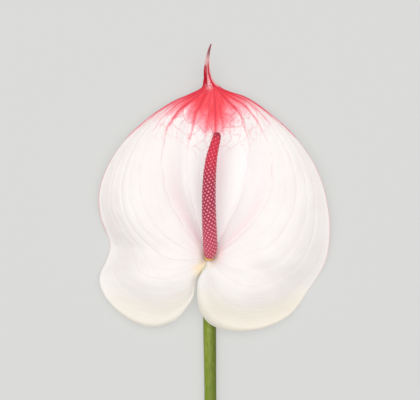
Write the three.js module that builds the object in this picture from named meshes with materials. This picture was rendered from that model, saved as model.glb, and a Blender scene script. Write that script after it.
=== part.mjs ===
// A cut anthurium, lying face up on its stem and on the edges of its spathe. Millimetres, +Z up.
// +Y runs from the cut end of the stem to the tip of the spathe. The node, where stem, spathe and
// spadix meet, is at x = 0, y = 0 until the last step sets the whole flower on its frame.
import * as THREE from "three";
import { ParametricGeometry } from "three/addons/geometries/ParametricGeometry.js";

// Driving dimensions
const BLADE_WIDTH = 120;
const BLADE_LENGTH = 91.5; // node to the neck of the tail
const TAIL_LENGTH = 21;
const BLADE_THICKNESS = 0.8;
const STEM_DIAMETER = 6.5;
const STEM_LENGTH = 250; // cut end to node, measured along the table
const STEM_BOW = 1.2; // how far the stem bends sideways from its middle to its cut end
const NODE_TILT = 37; // degrees the stem's axis has risen to at the node
const NODE_BEND = 21; // radius of that rise
const STIPE_LENGTH = 2.4;
const STIPE_DIAMETER = 5;
const SPADIX_DIAMETER = 7.4;
const SPADIX_REACH = 67; // node to spadix tip, seen from above
const CLEARANCE = 0.3;

// Sizes that follow from them
const stemRadius = STEM_DIAMETER / 2;
const collarRadius = stemRadius + CLEARANCE;
const tilt = THREE.MathUtils.degToRad(NODE_TILT);
const axis = new THREE.Vector3(0, Math.cos(tilt), Math.sin(tilt));
const bendRun = NODE_BEND * Math.sin(tilt);
const node = new THREE.Vector3(0, 0, stemRadius + NODE_BEND * (1 - Math.cos(tilt)));
const loft = STEM_DIAMETER + 4.5; // height of the lobes where they cross the stem

// The margin on each side, from the tail's tip round to the node. Each row: compass direction
// from the node in degrees (0 at the neck, below 0 along the tail), then x as a share of half
// the blade's width, y as a share of its length (past 1: share of the tail's), z as a share
// of the loft.
const RIGHT_MARGIN = [
  [-32, 0.023, 1.99, 1.4],
  [-26, 0.014, 1.87, 1.27],
  [-20, 0.006, 1.69, 1.15],
  [-14, 0.01, 1.48, 1.02],
  [-8, 0.024, 1.27, 0.92],
  [-4, 0.046, 1.12, 0.82],
  [0, 0.088, 0.997, 0.7],
  [6, 0.17, 0.976, 0.64],
  [13, 0.338, 0.929, 0.64],
  [24, 0.555, 0.824, 0.68],
  [36, 0.753, 0.687, 0.73],
  [49, 0.91, 0.517, 0.69],
  [63, 1.003, 0.339, 0.58],
  [77, 1.045, 0.16, 0.42],
  [91, 1.0, -0.013, 0.22],
  [106, 0.858, -0.165, 0.007],
  [122, 0.705, -0.298, 0.33],
  [138, 0.517, -0.375, 0.56],
  [153, 0.32, -0.407, 0.73],
  [167, 0.137, -0.396, 0.8],
  [180, 0.0, -0.352, 0.85],
  [192, -0.082, -0.273, 0.93],
  [202, -0.103, -0.175, 1.0],
  [210, -0.09, -0.096, 1.03],
  [218, -0.037, -0.045, 1.02],
];
const LEFT_MARGIN = [
  [-32, 0.014, 1.99, 1.4],
  [-26, -0.006, 1.87, 1.27],
  [-20, -0.025, 1.69, 1.17],
  [-14, -0.043, 1.48, 1.04],
  [-8, -0.057, 1.27, 0.95],
  [-4, -0.062, 1.12, 0.88],
  [0, -0.077, 0.995, 0.74],
  [6, -0.17, 0.965, 0.64],
  [13, -0.327, 0.911, 0.64],
  [24, -0.537, 0.807, 0.67],
  [36, -0.728, 0.677, 0.71],
  [49, -0.887, 0.506, 0.6],
  [60, -0.96, 0.352, 0.42],
  [70, -0.93, 0.219, 0.2],
  [80, -0.86, 0.096, 0.022],
  [89, -0.89, 0.007, 0.13],
  [99, -0.953, -0.101, 0.29],
  [110, -0.893, -0.214, 0.42],
  [124, -0.717, -0.326, 0.44],
  [138, -0.507, -0.378, 0.5],
  [150, -0.307, -0.343, 0.64],
  [160, -0.18, -0.256, 0.76],
  [170, -0.108, -0.17, 0.82],
  [180, -0.06, -0.1, 0.85],
  [190, -0.027, -0.05, 0.91],
];
const COLLAR_SWEEP = { 1: 170, "-1": 166 }; // degrees each half of the blade goes round the node
const MARGIN = { 1: RIGHT_MARGIN, "-1": LEFT_MARGIN };
const TAIL_END = -32; // compass value at the tail's tip
const TAIL_ROLL = 2.3; // radians each margin of the tail is rolled up from its keel

function smooth(value, from, to) {
  return THREE.MathUtils.smoothstep(value, from, to);
}

function marginPoint(row) {
  const y = Math.min(row[2], 1) * BLADE_LENGTH + Math.max(row[2] - 1, 0) * TAIL_LENGTH;
  return new THREE.Vector3((row[1] * BLADE_WIDTH) / 2, y, row[3] * loft);
}

// Smooth margin through the rows of one side; each row's slope is the chord of its neighbours.
function marginAt(side, compass) {
  const rows = MARGIN[side];
  const last = rows.length - 1;
  let i = 0;
  while (i < last - 1 && compass > rows[i + 1][0]) i += 1;
  const slope = (k) => {
    const a = Math.max(k - 1, 0);
    const b = Math.min(k + 1, last);
    return marginPoint(rows[b]).sub(marginPoint(rows[a])).divideScalar(rows[b][0] - rows[a][0]);
  };
  const step = rows[i + 1][0] - rows[i][0];
  const t = (compass - rows[i][0]) / step;
  const point = marginPoint(rows[i]).multiplyScalar((1 + 2 * t) * (1 - t) ** 2);
  point.addScaledVector(slope(i), step * t * (1 - t) ** 2);
  point.addScaledVector(marginPoint(rows[i + 1]), t * t * (3 - 2 * t));
  return point.addScaledVector(slope(i + 1), step * t * t * (t - 1));
}

// The blade's inner edge: a ring round the stem, square to the stem's axis.
function collarAt(side, compass) {
  const last = MARGIN[side].length - 1;
  const angle = (compass / MARGIN[side][last][0]) * COLLAR_SWEEP[side];
  const turn = THREE.MathUtils.degToRad(angle);
  const ahead = new THREE.Vector3(0, Math.sin(tilt), -Math.cos(tilt));
  const point = node.clone().addScaledVector(ahead, collarRadius * Math.cos(turn));
  point.x = side * collarRadius * Math.sin(turn);
  return point;
}

// How far the left lobe's inner edge is pushed out sideways, clear of the right lobe.
function sinusShift(point) {
  const back = point.y / BLADE_LENGTH + 0.109;
  const aside = point.x / BLADE_WIDTH + 0.033;
  return 0.022 * BLADE_WIDTH * Math.exp(-((back / 0.06) ** 2) - (aside / 0.07) ** 2);
}

// A point on the middle of the sheet. side: 1 right, -1 left. across: 0 on the midrib to 1 on
// the margin. along: 0 at the node, 1 at the neck, up to 2 at the tail's tip.
function sheetPoint(side, across, along) {
  if (along > 1) return tailPoint(side * across, along - 1);
  const left = 1 - along;
  const rows = MARGIN[side];
  const compass = rows[rows.length - 1][0] * across ** 1.3 * left;
  const power = -Math.log2(1 - (0.82 + 0.18 * across ** 4.5) ** 2);
  const reach = across < 1 ? Math.sqrt(1 - left ** power) : 1;
  const neckLeft = marginAt(-1, 0);
  const neckRight = marginAt(1, 0);
  const middle = neckLeft.clone().add(neckRight).multiplyScalar(0.5);
  const pull = (1 - across) * Math.exp(-((compass / 14) ** 2));
  const neckEnd = side > 0 ? neckRight : neckLeft;
  const outer = marginAt(side, compass).addScaledVector(neckEnd.sub(middle), -pull);
  const point = collarAt(side, compass).lerp(outer, reach);
  if (side < 0) point.x -= sinusShift(point);
  const sinus = rows[rows.length - 1][0] - compass;
  const cover = Math.sin(Math.PI * reach) ** 0.8 * (1 - Math.exp(-((sinus / 28) ** 2)));
  const puff = Math.sin(Math.PI * Math.max(across - 0.2, 0) ** 0.85 / 0.8 ** 0.85);
  const shelf = smooth(across, 0.1, 0.32) * (1 - smooth(across, 0.72, 1));
  point.z += loft * cover * (0.42 * Math.max(puff, 0) + 0.3 * shelf);
  point.z -= loft * cover * 0.06 * (1 - smooth(across, 0, 0.3));
  return point;
}

// From the middle of the tail to its right margin.
function tailHalf(along) {
  const right = marginAt(1, TAIL_END * along);
  return right.sub(marginAt(-1, TAIL_END * along)).multiplyScalar(0.5);
}

// The tail: the same sheet, its margins rolled up over a keel that lifts towards the tip.
function tailPoint(across, along) {
  const compass = TAIL_END * along;
  const half = tailHalf(along);
  const middle = marginAt(1, compass).sub(half);
  const roll = TAIL_ROLL * smooth(along, -0.02, 0.3) + 0.02;
  const angle = roll * across;
  const radius = half.length() / Math.sin(Math.min(roll, Math.PI / 2));
  const point = middle.clone().addScaledVector(half, (Math.sin(angle) * radius) / half.length());
  point.z += radius * (1 - Math.cos(angle));
  return point;
}

// Unit normal of the sheet, facing up; along the stem's axis at the collar.
function sheetNormal(signed, along) {
  if (along < 1e-6) return axis.clone();
  const step = 0.004;
  const at = (s, a) => sheetPoint(s < 0 ? -1 : 1, Math.min(Math.abs(s), 1), THREE.MathUtils.clamp(a, 0, 2));
  const acrossStep = at(signed + step, along).sub(at(signed - step, along));
  const alongStep = at(signed, along + step).sub(at(signed, along - step));
  return acrossStep.cross(alongStep).normalize();
}

// Half the sheet's thickness: full over the blade, less at the margin and along the tail.
function halfThickness(across, along) {
  const half = (BLADE_THICKNESS / 2) * (1 - 0.45 * Math.abs(across) ** 6);
  return along > 1 ? Math.min(half, 0.3 * tailHalf(along - 1).length()) : half;
}

// The spathe is the sheet given its thickness: a grid of points above and one below, each quad of
// both split across its shorter diagonal, with a rim round the collar, margins and tail's tip.
function spatheGeometry() {
  const half = 16; // columns each side of the midrib
  const bladeRows = 42;
  const tailRows = 9;
  const columns = 2 * half;
  const rows = bladeRows + tailRows;
  const above = [];
  const below = [];
  for (let row = 0; row <= rows; row += 1) {
    const blade = Math.min(row / bladeRows, 1);
    const along = blade ** 1.15 + Math.max(row - bladeRows, 0) / tailRows;
    for (let column = 0; column <= columns; column += 1) {
      const signed = column / half - 1;
      const across = Math.sign(signed) * Math.abs(signed) ** 0.9;
      const middle = sheetPoint(across < 0 ? -1 : 1, Math.abs(across), along);
      const offset = sheetNormal(across, along).multiplyScalar(halfThickness(across, along));
      above.push(middle.clone().add(offset));
      below.push(middle.clone().sub(offset));
    }
  }
  const width = columns + 1;
  const under = above.length;
  const faces = [];
  for (let row = 0; row < rows; row += 1) {
    for (let column = 0; column < columns; column += 1) {
      const a = row * width + column;
      const quad = [a, a + 1, a + width + 1, a + width];
      const first = above[quad[0]].distanceTo(above[quad[2]]);
      const second = above[quad[1]].distanceTo(above[quad[3]]);
      const [p, q, r, s] = first < second ? quad : [quad[1], quad[2], quad[3], quad[0]];
      faces.push(p, q, r, p, r, s);
      faces.push(under + p, under + r, under + q, under + p, under + s, under + r);
    }
  }
  const border = [];
  for (let column = 0; column < columns; column += 1) border.push(column);
  for (let row = 0; row < rows; row += 1) border.push(row * width + columns);
  for (let column = columns; column > 0; column -= 1) border.push(rows * width + column);
  for (let row = rows; row > 0; row -= 1) border.push(row * width);
  border.forEach((a, i) => {
    const b = border[(i + 1) % border.length];
    faces.push(a, under + a, under + b, a, under + b, b);
  });
  const geometry = new THREE.BufferGeometry().setFromPoints([...above, ...below]);
  geometry.setIndex(faces);
  geometry.computeVertexNormals();
  return geometry;
}

// A round limb along a curve. profile rows: share of the way along, radius.
function limbGeometry(curve, profile, around) {
  const segments = profile.length - 1;
  const place = (u, v, target) => {
    const [share, radius] = profile[Math.round(v * segments)];
    const tangent = curve.getTangentAt(share);
    const sideways = new THREE.Vector3(1, 0, 0).cross(tangent).cross(tangent).normalize();
    const up = tangent.clone().cross(sideways);
    const turn = 2 * Math.PI * (Math.round(u * around) % around) / around;
    target.copy(curve.getPointAt(share));
    target.addScaledVector(sideways, radius * Math.cos(turn));
    target.addScaledVector(up, radius * Math.sin(turn));
  };
  return new ParametricGeometry(place, around, segments);
}

function stemGeometry() {
  const points = [];
  for (const share of [1, 0.8, 0.6, 0.4, 0.2]) {
    const y = -bendRun - share * (STEM_LENGTH - bendRun);
    points.push(new THREE.Vector3(STEM_BOW * share * share, y, stemRadius));
  }
  for (const share of [0, 0.25, 0.5, 0.75, 0.95, 1]) {
    const lift = share * tilt;
    const y = -bendRun + NODE_BEND * Math.sin(lift);
    points.push(new THREE.Vector3(0, y, stemRadius + NODE_BEND * (1 - Math.cos(lift))));
  }
  const curve = new THREE.CatmullRomCurve3(points, false, "centripetal");
  const profile = [[0, 0], [0, stemRadius]];
  for (let i = 1; i <= 36; i += 1) profile.push([1 - (1 - i / 36) ** 1.3, stemRadius]);
  profile.push([1, 0]);
  return limbGeometry(curve, profile, 32);
}

const stipeStart = CLEARANCE;
const spadixStart = stipeStart + STIPE_LENGTH + CLEARANCE;

function stipeGeometry() {
  const curve = new THREE.LineCurve3(
    node.clone().addScaledVector(axis, stipeStart),
    node.clone().addScaledVector(axis, stipeStart + STIPE_LENGTH),
  );
  const radius = STIPE_DIAMETER / 2;
  return limbGeometry(curve, [[0, 0], [0, radius], [0.5, radius * 0.94], [1, radius], [1, 0]], 24);
}

// The spadix leaves the node along the stem's axis, then leans over along the blade.
function spadixGeometry() {
  const start = node.clone().addScaledVector(axis, spadixStart);
  const run = SPADIX_REACH - start.y;
  const points = [[0, 0.3, 0], [0.02, 0.3, 0.97], [0.06, 0.6, 2.7], [0.12, 0.55, 4.8], [0.26, 0.15, 8.2],
    [0.4, -0.1, 10.0], [0.56, 0, 11.2], [0.7, 0.55, 11.8], [0.8, 1.4, 12.0], [0.88, 2.6, 12.1],
    [0.95, 3.8, 12.2], [1, 4.4, 12.2]].map(([share, aside, rise]) =>
    new THREE.Vector3(start.x + aside, start.y + share * run, start.z + rise));
  const curve = new THREE.CatmullRomCurve3(points, false, "centripetal");
  const radius = SPADIX_DIAMETER / 2;
  const profile = [[0, 0], [0, 0.62], [0.03, 0.84], [0.08, 0.96], [0.15, 1], [0.25, 0.99], [0.35, 0.96],
    [0.45, 0.94], [0.55, 0.92], [0.65, 0.88], [0.75, 0.81], [0.83, 0.73], [0.9, 0.64], [0.95, 0.57],
    [0.975, 0.47], [0.99, 0.31], [0.997, 0.17], [1, 0]].map(([share, size]) => [share, size * radius]);
  return limbGeometry(curve, profile, 32);
}

function piece(name, geometry, color, roughness) {
  const material = new THREE.MeshStandardMaterial({ color, roughness, metalness: 0 });
  const mesh = new THREE.Mesh(geometry, material);
  mesh.name = name;
  return mesh;
}

const flower = new THREE.Group();
flower.name = "cut_anthurium";
flower.add(piece("stem", stemGeometry(), "#7c8c3c", 0.5));
flower.add(piece("spathe", spatheGeometry(), "#f4ece8", 0.35));
flower.add(piece("stipe", stipeGeometry(), "#e3b45c", 0.5));
flower.add(piece("spadix", spadixGeometry(), "#b83a50", 0.6));

// The flower's frame: the middle of its bounding box at x = 0, y = 0, its lowest point at z = 0.
const box = new THREE.Box3().setFromObject(flower, true);
const centre = box.getCenter(new THREE.Vector3());
flower.position.set(-centre.x, -centre.y, -box.min.z);

export default flower;
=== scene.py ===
import math
from functools import partial

import bmesh
import bpy
import numpy as np
from bpy.props import FloatProperty, FloatVectorProperty, IntProperty, PointerProperty
from bpy.types import Operator, Panel, PropertyGroup
from mathutils import Matrix, Vector


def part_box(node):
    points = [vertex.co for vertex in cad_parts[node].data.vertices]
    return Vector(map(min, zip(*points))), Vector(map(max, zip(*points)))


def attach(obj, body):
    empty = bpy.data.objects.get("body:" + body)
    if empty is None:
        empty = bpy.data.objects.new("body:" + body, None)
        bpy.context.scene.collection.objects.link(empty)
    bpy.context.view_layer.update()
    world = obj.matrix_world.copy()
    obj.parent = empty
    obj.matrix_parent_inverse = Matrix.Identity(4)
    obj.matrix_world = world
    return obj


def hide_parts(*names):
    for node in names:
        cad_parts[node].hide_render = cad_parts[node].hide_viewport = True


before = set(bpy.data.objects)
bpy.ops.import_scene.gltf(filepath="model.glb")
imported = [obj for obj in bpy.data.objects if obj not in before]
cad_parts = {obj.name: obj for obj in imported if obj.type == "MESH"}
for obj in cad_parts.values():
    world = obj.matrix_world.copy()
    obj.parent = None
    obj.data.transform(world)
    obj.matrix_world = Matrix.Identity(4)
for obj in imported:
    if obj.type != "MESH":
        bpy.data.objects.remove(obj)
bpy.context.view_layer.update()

bl_info = {
    "name": "Cut anthurium",
    "blender": (4, 5, 0),
    "version": (1, 0, 0),
    "location": "3D View > Sidebar > Anthurium",
    "description": "Models a cut anthurium lying face up, with its floor, lights and camera",
    "category": "Add Mesh",
}

MM = 0.001
# Points closer than this, in metres, are merged
MERGE = 1e-6
# Stem and spathe lie this far above the floor
FLOOR_GAP = 0.02 * MM
STEM_LOW, STEM_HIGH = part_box("stem")
SPADIX_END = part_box("spadix")[1][1]


# ---------------------------------------------------------------- the spathe as a sheet

# The stem's axis has risen this much where it meets the spathe
NODE_TILT = math.radians(37.0)

# Margin of each side, from the tail's tip round to the node: compass direction from the node in
# degrees, x as a share of half the blade's width, y as a share of its length (past 1: of the
# tail's), z as a share of the loft
MARGIN_RIGHT = np.array((
    (-32, 0.023, 1.99, 1.4), (-26, 0.014, 1.87, 1.27), (-20, 0.006, 1.69, 1.15),
    (-14, 0.01, 1.48, 1.02), (-8, 0.024, 1.27, 0.92), (-4, 0.05, 1.1, 0.82),
    (0, 0.096, 0.99, 0.7), (6, 0.17, 0.965, 0.64), (13, 0.338, 0.926, 0.64),
    (24, 0.555, 0.824, 0.68), (36, 0.765, 0.69, 0.73), (49, 0.935, 0.52, 0.69),
    (63, 1.022, 0.339, 0.58), (77, 1.05, 0.16, 0.42), (91, 1.008, -0.013, 0.22),
    (106, 0.868, -0.165, 0.007), (122, 0.718, -0.298, 0.33), (138, 0.525, -0.37, 0.56),
    (153, 0.32, -0.398, 0.73), (167, 0.137, -0.39, 0.8), (180, 0.0, -0.352, 0.85),
    (192, -0.082, -0.273, 0.93), (202, -0.103, -0.175, 1.0), (210, -0.09, -0.096, 1.03),
    (218, -0.037, -0.045, 1.02),
))
MARGIN_LEFT = np.array((
    (-32, 0.014, 1.99, 1.4), (-26, -0.006, 1.87, 1.27), (-20, -0.025, 1.69, 1.17),
    (-14, -0.043, 1.48, 1.04), (-8, -0.055, 1.27, 0.95), (-4, -0.052, 1.1, 0.88),
    (0, -0.064, 0.985, 0.74), (6, -0.165, 0.95, 0.64), (13, -0.32, 0.905, 0.64),
    (24, -0.537, 0.807, 0.67), (36, -0.738, 0.68, 0.71), (49, -0.9, 0.51, 0.6),
    (60, -0.96, 0.352, 0.42), (70, -0.93, 0.219, 0.2), (80, -0.86, 0.096, 0.022),
    (89, -0.89, 0.007, 0.13), (99, -0.953, -0.101, 0.29), (110, -0.893, -0.214, 0.42),
    (124, -0.717, -0.326, 0.44), (138, -0.507, -0.378, 0.5), (150, -0.307, -0.343, 0.64),
    (160, -0.18, -0.256, 0.76), (170, -0.108, -0.17, 0.82), (180, -0.06, -0.1, 0.85),
    (190, -0.027, -0.05, 0.91),
))
TAIL_END = MARGIN_RIGHT[0, 0]
LAST_RIGHT, LAST_LEFT = MARGIN_RIGHT[-1, 0], MARGIN_LEFT[-1, 0]
# Angle, in radians, that the tail's margins are rolled up by, and the shares by which the left
# one is rolled further and the right one less
TAIL_ROLL, MORE_LEFT, LESS_RIGHT = 2.3, 0.2, 0.15
# The rolled tail is narrower than its outline by this share
TAIL_PINCH = 0.28
# The midrib meets the neck this share of the neck's half width right of its middle, and eases
# back to the middle over about this many degrees of compass
MIDRIB_ASIDE, NECK_SPREAD = 0.26, 14.0
# Millimetres that the midrib swings right near the spadix's tip
MIDRIB_SWING = 1.7
# The sheet's inner edge, which closes round the stipe: its radius as a share of the stem's
# thickness, and the degrees that each side turns through
COLLAR_RADIUS, COLLAR_TURN_RIGHT, COLLAR_TURN_LEFT = 0.41, 196.0, 172.0
# Millimetres that it stands beyond the stem's end, and that the right side stands over the left
# from this compass direction on
COLLAR_AHEAD, COLLAR_LAP, LAP_FROM = 1.8, 0.5, 150.0
# Compass directions grow with this power of the way across the blade, so that the veins part
# slowly at first
FAN_POWER = 1.3
# Half way along its rows the midrib is this share of the way to the neck
MIDRIB_REACH = 0.82
# The lobes cross the stem this far above it, in metres
OVER_STEM = 4.5 * MM
# Heights as shares of the loft: the pillow that each half makes, the shelf outside its crease,
# and the trough along the midrib
PILLOW, SHELF, TROUGH = 0.42, 0.3, 0.06
# Swelling of the left lobe beside the node: its middle, its spread, and how far it moves the
# sheet left, as shares of the blade's width (x) and length (y)
SWELL_X, SWELL_Y, SWELL_WIDE, SWELL_LONG, SWELL_BY = -0.033, -0.109, 0.07, 0.06, 0.022

# Longitudinal veins as shares of the way from midrib to margin, with how strongly each shows.
# The third out from the midrib on each side is the crease that the blade folds up from.
VEINS_RIGHT = ((0.0, 0.9), (0.1, 0.35), (0.22, 1.0), (0.345, 1.0), (0.43, 0.35), (0.5, 0.9),
               (0.61, 0.3), (0.72, 0.7), (0.8, 0.2), (0.875, 0.4), (0.95, 0.12))
VEINS_LEFT = ((0.0, 0.9), (0.085, 0.35), (0.165, 0.9), (0.3, 1.1), (0.37, 0.35), (0.445, 0.9),
              (0.52, 0.35), (0.59, 0.9), (0.665, 0.3), (0.73, 0.75), (0.8, 0.2), (0.87, 0.45),
              (0.94, 0.15))
# Red flush round the neck: share of the way from midrib to margin, then millimetres from the
# neck to where it stops being full, to where it ends, and to where the veins lose it
FLUSH_RIGHT = ((0.0, 15, 30, 34), (0.06, 15, 29, 34), (0.12, 12, 28, 32), (0.22, 9, 28, 34),
               (0.345, 8.5, 29, 46), (0.5, 9, 30, 44), (0.61, 10.5, 30, 48), (0.72, 12, 30, 62),
               (0.85, 12, 30, 50), (1.0, 12, 30, 50))
FLUSH_LEFT = ((0.0, 15, 30, 34), (0.08, 12, 30, 34), (0.165, 11, 28, 30), (0.25, 10.5, 26, 40),
              (0.3, 10.5, 27, 48), (0.41, 11, 31, 42), (0.5, 11, 31, 42), (0.62, 10.5, 29, 44),
              (0.73, 12, 31, 62), (0.85, 13, 32, 50), (1.0, 14, 32, 50))
CREASE_RIGHT, CREASE_LEFT = VEINS_RIGHT[3][0], VEINS_LEFT[3][0]
# Millimetres that the blade would bulge between two veins a whole half blade apart
BULGE = 2.6


def smooth(value, low, high):
    """0 below low, 1 above high, and a soft step between."""
    t = np.clip((value - low) / (high - low), 0.0, 1.0)
    return t * t * (3.0 - 2.0 * t)


def bell(value, middle, width):
    """1 at the middle, falling away to either side over about the width."""
    return np.exp(-((value - middle) / width) ** 2)


def curve(knots, places, slopes, at):
    """Points on the smooth curve that passes each place at its knot, at the knot values given."""
    i = np.clip(np.searchsorted(knots, at, side="right") - 1, 0, len(knots) - 2)
    span = (knots[i + 1] - knots[i])[..., None]
    t = (at - knots[i])[..., None] / span
    return (places[i] * (1 + 2 * t) * (1 - t) ** 2 + slopes[i] * span * t * (1 - t) ** 2
            + places[i + 1] * t * t * (3 - 2 * t) + slopes[i + 1] * span * t * t * (t - 1))


def margin_at(sizes, right, compass):
    """Points of one side's margin, in millimetres from the node, at each compass direction."""
    rows = MARGIN_RIGHT if right else MARGIN_LEFT
    knots = rows[:, 0]
    past = np.maximum(rows[:, 2] - 1.0, 0.0)
    y = np.minimum(rows[:, 2], 1.0) * sizes.blade_length + past * sizes.tail_length
    places = np.stack((rows[:, 1] * sizes.blade_width / 2, y, rows[:, 3] * loft(sizes)), 1) / MM
    slopes = np.empty_like(places)
    slopes[1:-1] = (places[2:] - places[:-2]) / (knots[2:] - knots[:-2])[:, None]
    slopes[0] = (places[1] - places[0]) / (knots[1] - knots[0])
    slopes[-1] = (places[-1] - places[-2]) / (knots[-1] - knots[-2])
    return curve(knots, places, slopes, compass)


def neck_ends(sizes):
    """The left and right margins where the blade narrows to the neck."""
    return margin_at(sizes, False, np.zeros(1))[0], margin_at(sizes, True, np.zeros(1))[0]


def compass_at(right, across, along):
    """Compass direction of the margin that a place on the blade leads out to."""
    return np.where(right, LAST_RIGHT, LAST_LEFT) * across ** FAN_POWER * (1 - np.minimum(along, 1.0))


def loft(sizes):
    """Height of the lobes where they cross the stem, in metres."""
    return sizes.stem_diameter + OVER_STEM


def node_height(sizes):
    """Height of the stem's axis where it ends at the node, in metres."""
    return sizes.stem_diameter / 2 + sizes.neck_bend * (1 - math.cos(NODE_TILT))


def collar_at(sizes, right, compass):
    """The ring of the sheet's inner edge, which closes over the stem's end round the stipe. The
    right side's end laps over the left's."""
    last, sweep, side = LAST_LEFT, COLLAR_TURN_LEFT, -1.0
    if right:
        last, sweep, side = LAST_RIGHT, COLLAR_TURN_RIGHT, 1.0
    radius = COLLAR_RADIUS * sizes.stem_diameter / MM
    turn = np.radians(compass / last * sweep)
    beyond = COLLAR_AHEAD + (COLLAR_LAP * smooth(compass, LAP_FROM, last) if right else 0.0)
    down = radius * np.cos(turn)
    return np.stack((side * radius * np.sin(turn),
                     math.cos(NODE_TILT) * beyond + math.sin(NODE_TILT) * down,
                     node_height(sizes) / MM + math.sin(NODE_TILT) * beyond - math.cos(NODE_TILT) * down), -1)


def half_sheet(sizes, right, across, along):
    """One half of the blade: across 0 on the midrib to 1 on the margin, along 0 at the node to
    1 at the neck. Returns points in millimetres from the node."""
    compass = compass_at(right, across, along)
    middle_reach = np.minimum(MIDRIB_REACH + (1.0 - MIDRIB_REACH) * across ** 4.5, 1.0 - 1e-12)
    power = -np.log2(1.0 - middle_reach ** 2)
    reach = np.where(across < 1.0, np.sqrt(1.0 - (1.0 - along) ** power), 1.0)
    neck_left, neck_right = neck_ends(sizes)
    midrib_end = (neck_left + neck_right) / 2 + (neck_right - neck_left) / 2 * MIDRIB_ASIDE
    pull = (1.0 - across) * bell(compass, 0.0, NECK_SPREAD)
    outer = margin_at(sizes, right, compass)
    outer -= pull[..., None] * ((neck_right if right else neck_left) - midrib_end)
    inner = collar_at(sizes, right, compass)
    place = inner + (outer - inner) * reach[..., None]
    if not right:
        x, y = place[..., 0] * MM / sizes.blade_width, place[..., 1] * MM / sizes.blade_length
        swell = bell(x, SWELL_X, SWELL_WIDE) * bell(y, SWELL_Y, SWELL_LONG)
        place[..., 0] -= SWELL_BY * sizes.blade_width / MM * swell
    place[..., 0] += MIDRIB_SWING * (1.0 - across) ** 3 * bell(reach, 0.78, 0.17)
    last = LAST_RIGHT if right else LAST_LEFT
    level_ends = np.sin(math.pi * reach) ** 0.8 * (1 - bell(compass, last, 28.0))
    place[..., 2] += level_ends * (puffing(sizes, right, across) + quilting(right, across) + waves(place))
    return place


def puffing(sizes, right, across):
    """Each half is puffed up outside its crease and sunk along the midrib, in millimetres."""
    pillow = np.sin(math.pi * (np.maximum(across - 0.2, 0.0) / 0.8) ** 0.85)
    crease = CREASE_RIGHT if right else CREASE_LEFT
    shelf = smooth(across, crease - 0.14, crease + 0.02) * (1 - smooth(across, 0.72, 1.0))
    trough = 1 - smooth(across, 0.0, 0.3)
    return (PILLOW * np.maximum(pillow, 0.0) + SHELF * shelf - TROUGH * trough) * loft(sizes) / MM


def quilting(right, across):
    """The blade bulges a little between its veins and dips sharply at each one."""
    veins = VEINS_RIGHT if right else VEINS_LEFT
    lift = np.zeros_like(across)
    for (low, _), (high, _) in zip(veins[:-1], veins[1:]):
        inside = (across >= low) & (across < high)
        share = np.clip((across - low) / (high - low), 0.0, 1.0)
        lift = np.where(inside, np.sin(math.pi * share) * (high - low) * BULGE, lift)
    return lift * smooth(across, 0.02, 0.2) * (1 - 0.9 * smooth(across, 0.55, 0.9))


def waves(place):
    """Slow uneven dents and swells, tens of millimetres across and a fraction of one deep."""
    x, y = place[..., 0], place[..., 1]
    return (0.28 * np.sin(0.115 * x + 0.21 * y + 0.6) * np.sin(0.17 * x - 0.08 * y)
            + 0.16 * np.sin(0.31 * x + 0.12 * y + 2.1) * np.sin(0.24 * y - 0.1 * x + 0.4))


def tail_sheet(sizes, signed, along):
    """The tail: margins rolled up over a keel, from along 0 at the neck to 1 at the tip."""
    compass = TAIL_END * along
    right = margin_at(sizes, True, compass)
    left = margin_at(sizes, False, compass)
    middle = (right + left) / 2
    fade_in = smooth(along, 0.0, 0.25)
    half = (right - left) / 2 * (1 - TAIL_PINCH * fade_in)[..., None]
    length = np.linalg.norm(half, axis=-1)
    roll = TAIL_ROLL * smooth(along, -0.02, 0.3) + 0.02
    radius = length / np.sin(np.minimum(roll, math.pi / 2))
    signed = signed + MIDRIB_ASIDE * (1 - np.abs(signed)) * (1 - smooth(along, 0.0, 0.3))
    angle = roll * signed * (1 + np.where(signed < 0, MORE_LEFT, -LESS_RIGHT) * fade_in)
    place = middle + half * (np.sin(angle) * radius / length)[..., None]
    place[..., 2] += radius * (1 - np.cos(angle))
    return place


def sheet(sizes, signed, along):
    """Points of the whole sheet in millimetres from the node. signed is -1 on the left margin to
    1 on the right, along 0 at the node, 1 at the neck and 2 at the tail's tip."""
    across = np.abs(signed)
    blade = np.clip(along, 0.0, 1.0)
    right = half_sheet(sizes, True, across, blade)
    left = half_sheet(sizes, False, across, blade)
    place = np.where((signed >= 0)[..., None], right, left)
    tail = tail_sheet(sizes, signed, np.clip(along - 1.0, 0.0, 1.0))
    return np.where((along > 1.0)[..., None], tail, place)


# ---------------------------------------------------------------- modelling helpers


def node_place(sizes):
    """Where stem, spathe and spadix meet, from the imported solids, in metres."""
    radius = sizes.stem_diameter / 2
    return Vector((STEM_LOW[0] + radius, STEM_HIGH[1] - radius * math.sin(NODE_TILT), STEM_LOW[2]))


def fresh():
    """Leaves edit mode, if on, with nothing selected."""
    if bpy.context.object and bpy.context.object.mode != "OBJECT":
        bpy.ops.object.mode_set(mode="OBJECT")
    bpy.ops.object.select_all(action="DESELECT")


def pick(piece):
    """Selects the piece alone and makes it the active one."""
    fresh()
    piece.select_set(True)
    bpy.context.view_layer.objects.active = piece


def grid_piece(name, columns, rows, place):
    """A grid primitive whose points are moved to place(u, v), u and v from 0 to 1 across it."""
    fresh()
    bpy.ops.mesh.primitive_grid_add(x_subdivisions=columns, y_subdivisions=rows, size=2.0, calc_uvs=True)
    piece = bpy.context.object
    piece.name = name
    mesh = piece.data
    mesh.name = name
    flat = np.empty(len(mesh.vertices) * 3)
    mesh.vertices.foreach_get("co", flat)
    flat = flat.reshape(-1, 3)
    u, v = (flat[:, 0] + 1) / 2, (flat[:, 1] + 1) / 2
    u, v = np.round(u * columns) / columns, np.round(v * rows) / rows
    mesh.vertices.foreach_set("co", np.ascontiguousarray(place(u, v)).ravel())
    mesh.update()
    return piece, u, v


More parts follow.
